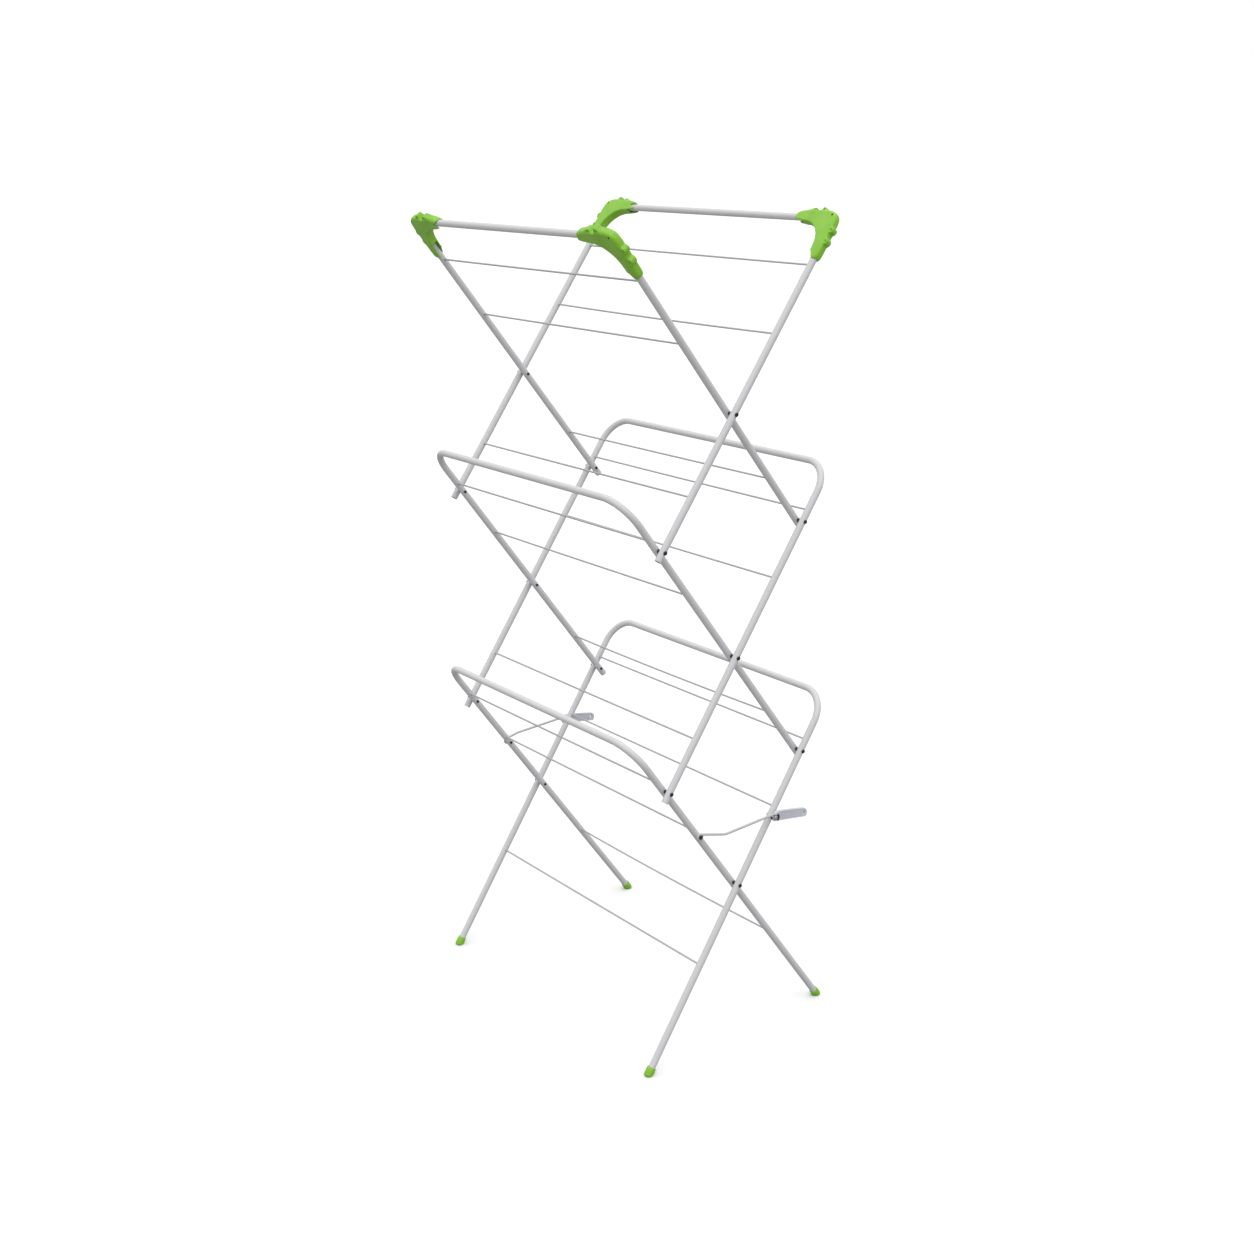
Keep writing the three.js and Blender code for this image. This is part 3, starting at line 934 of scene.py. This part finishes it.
def stayWire(hand):
    sign = handSign[hand]
    pivot, centre, heading, square = lockPlaces(hand)
    eyeX = sign * (tubeFaces["betweenInner"] + stay["eyeSide"])
    outX = sign * stay["outside"]

    def onHandle(place):
        point = centre + heading * place[0] + square * place[1]
        return Vector((outX, point.y, point.z))

    loop = []
    for step in range(stay["eyeSteps"] + 1):
        angle = math.radians(stay["eyeStart"] + stay["eyeTurn"] * (1 - step / stay["eyeSteps"]))
        y = pivot.y + stay["eye"] * math.cos(angle)
        z = pivot.z + stay["eye"] * math.sin(angle)
        loop.append(Vector((eyeX, y, z)))
    back, up = stay["elbow"]
    corners = [
        loop[-1],
        Vector((outX, pivot.y + back, pivot.z + up)),
        onHandle(handle["socketStart"]),
        onHandle(handle["socketEnd"]),
    ]
    path = loop[:-1] + roundedRoute(corners, stay["bend"], stay["bendSteps"])
    node = f"stay_wire_{hand}"
    skin = loft(ringsAlong(path, [stay["wire"]] * len(path), stay["sides"]))
    piece = newPiece(f"stayWire_{hand}", *skin, finishes["stay_paint"])
    settle(crispEdges(piece, 50), node)


def handleDistance(x, y, z):
    # x along the handle, y square to it, z across its thickness, all from the stud's centre
    flatX, flatY = x[:, :, 0], y[:, :, 0]
    edge = outlineDistance(smoothLine(handle["outline"]), flatX, flatY)[:, :, None]
    blend = handle["blend"]
    shape = roundedSlab(edge, z, handle["half"], handle["edge"])
    sunk = np.maximum(handle["sunkFrom"] - x, handle["sunkHalf"] - np.abs(z))
    shape = cutBy(shape, np.maximum(edge + handle["rim"], sunk), blend["sunk"])
    mouth = np.where(x < 0, np.abs(y), np.hypot(x, y)) - handle["mouth"]
    shape = cutBy(shape, mouth, blend["mouth"])
    along, up, radius = handle["hang"]
    return cutBy(shape, np.hypot(x - along, y - up) - radius, blend["hang"])


def linerDistance(x, y, z):
    # an arc, round at both ends
    turn = np.clip(np.arctan2(y, x), *liner["turn"])
    middle = liner["middle"]
    band = np.hypot(x - middle * np.cos(turn), y - middle * np.sin(turn)) - liner["radius"]
    return np.maximum(band, np.abs(z) - liner["half"])


handleSkin = mouldedSkin(handleDistance, handle["low"], handle["high"], handle["step"])
linerSkin = mouldedSkin(linerDistance, liner["low"], liner["high"], liner["step"])


def handlePart(name, skin, finish, hand, node=None):
    sign = handSign[hand]
    _, centre, heading, square = lockPlaces(hand)
    middle = Vector((sign * (handle["near"] + handle["far"]) / 2, centre.y, centre.z))
    across = heading.cross(square)
    vertices = [middle + (heading * x + square * y + across * z) * mm for x, y, z in skin[0]]
    piece = newPiece(f"{name}_{hand}", vertices, skin[1], finishes[finish])
    if node:
        return settle(piece, node)
    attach(piece, bodyOf(f"stay_handle_{hand}"))
    return piece


def lockStud(hand):
    soft = rivet["soft"]
    face = tubeFaces["outside"] + rivet["gap"]
    inner = tubeFaces["betweenOuter"] - rivet["gap"]
    tip = inner - stud["tailLength"]
    back, inward = stud["roundMiddle"]
    node = f"lock_stud_{hand}"
    profile = [
        (tip, rivet["tail"] * closing), (tip, rivet["tail"] - soft),
        (tip + soft, rivet["tail"]), (inner, rivet["tail"]), (inner, rivet["shank"]),
        (stud["collarEnd"], rivet["shank"]), (stud["collarEnd"], stud["radius"]),
        (stud["end"] - stud["round"], stud["radius"]), (stud["end"] - back, stud["radius"] - inward),
        (stud["end"], stud["radius"] - stud["round"]), (stud["end"], stud["radius"] * closing),
    ]
    rings = turnedRings(profile, rivet["sides"], handSign[hand], middleOf(node))
    piece = newPiece(f"lockStud_{hand}", *loft(rings), finishes["bright_steel"])
    settle(crispEdges(piece, 40), node)
    washer = [
        (face, rivet["shank"]), (face, stud["collar"] - soft), (face + soft, stud["collar"]),
        (stud["collarEnd"] - soft, stud["collar"]), (stud["collarEnd"], stud["collar"] - soft),
        (stud["collarEnd"], rivet["shank"]),
    ]
    rings = turnedRings(washer, rivet["sides"], handSign[hand], middleOf(node))
    piece = newPiece(f"studWasher_{hand}", *loft(rings, closed=True), finishes["black_plastic"])
    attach(crispEdges(piece, 40), bodyOf(node))


def stayRivet(hand):
    node = f"stay_rivet_{hand}"
    top = tubeFaces["betweenInner"] + stay["eyeSide"] + stay["wire"] + rivet["gap"]
    profile = rolledTail(tubeFaces["inside"]) + [(top, rivet["shank"])]
    profile += domedCap(top, rivet["cap"], stay["rivetCapHeight"])
    rings = turnedRings(profile, rivet["sides"], handSign[hand], middleOf(node))
    piece = newPiece(f"stayRivet_{hand}", *loft(rings), finishes["black_plastic"])
    settle(crispEdges(piece, 40), node)


for hand in handSign:
    stayWire(hand)
    handlePart("stayHandle", handleSkin, "grey_plastic", hand, f"stay_handle_{hand}")
    handlePart("hookLiner", linerSkin, "black_plastic", hand)
    lockStud(hand)
    stayRivet(hand)
print("locks built")


studio = {
    "floorReach": 40,
    "floorWhite": (0.96, 0.96, 0.96),  # what the camera sees
    "floorBounce": (0.30, 0.30, 0.30),  # what the floor gives back to the airer
    "skyTop": 1.22,
    "skyLow": 0.45,
    "sunStrength": 0.45,
    "sunAngle": math.radians(40),
    "sunFrom": Vector((0.5, -0.2, 0.84)),
}


def buildFloor():
    size = studio["floorReach"]
    corners = [(-size, -size, 0), (size, -size, 0), (size, size, 0), (-size, size, 0)]
    material, tree, shader = newFinish("studioFloor", {"Roughness": 0.9, "Specular IOR Level": 0.0})
    path = tree.nodes.new("ShaderNodeLightPath")
    colour = tint(tree, path.outputs["Is Camera Ray"], studio["floorBounce"], studio["floorWhite"])
    tree.links.new(colour, shader.inputs["Base Color"])
    floor = newPiece("studioFloor", corners, [(0, 1, 2, 3)], material)


def buildSky():
    world = bpy.data.worlds.new("softSky")
    bpy.context.scene.world = world
    world.use_nodes = True
    tree = world.node_tree
    background = tree.nodes["Background"]
    where = tree.nodes.new("ShaderNodeTexCoord")
    split = tree.nodes.new("ShaderNodeSeparateXYZ")
    tree.links.new(where.outputs["Generated"], split.inputs[0])
    rise = rangeNode(tree, split.outputs["Z"], -0.1, 0.9)
    added = mathNode(tree, "MULTIPLY", rise, studio["skyTop"] - studio["skyLow"])
    light = mathNode(tree, "ADD", added, studio["skyLow"])
    path = tree.nodes.new("ShaderNodeLightPath")
    seen = path.outputs["Is Camera Ray"]
    unseen = mathNode(tree, "SUBTRACT", 1, seen)
    strength = mathNode(tree, "ADD", mathNode(tree, "MULTIPLY", light, unseen), seen)
    background.inputs["Color"].default_value = (1, 1, 1, 1)
    tree.links.new(strength, background.inputs["Strength"])


def buildLamp():
    sun = bpy.data.lights.new("softSun", "SUN")
    sun.energy = studio["sunStrength"]
    sun.angle = studio["sunAngle"]
    lamp = bpy.data.objects.new("softSun", sun)
    lamp.rotation_mode = "QUATERNION"
    lamp.rotation_quaternion = (-studio["sunFrom"]).to_track_quat("-Z", "Y")
    bpy.context.scene.collection.objects.link(lamp)


viewFrom = {
    "azimuth": math.radians(53.2),
    "elevation": math.radians(16.07),
    "roll": math.radians(-1.51),
    "distance": 2.79,
    "aim": Vector((0.0028, 0.0038, 0.5358 * airerHeight)),
    "lens": 48.76,
    "shiftDown": 0.033,
}


def buildCamera():
    a, e = viewFrom["azimuth"], viewFrom["elevation"]
    back = Vector((math.sin(a) * math.cos(e), -math.cos(a) * math.cos(e), math.sin(e)))
    camera = bpy.data.cameras.new("productCamera")
    camera.lens = viewFrom["lens"]
    camera.shift_y = -viewFrom["shiftDown"]
    holder = bpy.data.objects.new("productCamera", camera)
    holder.rotation_mode = "QUATERNION"
    level = (-back).to_track_quat("-Z", "Y").to_matrix()
    holder.rotation_quaternion = (level @ Matrix.Rotation(viewFrom["roll"], 3, "Z")).to_quaternion()
    holder.location = viewFrom["aim"] + back * viewFrom["distance"]
    bpy.context.scene.collection.objects.link(holder)
    bpy.context.scene.camera = holder


buildFloor()
buildSky()
buildLamp()
buildCamera()
bpy.context.scene.view_settings.view_transform = "Standard"
print("studio built")
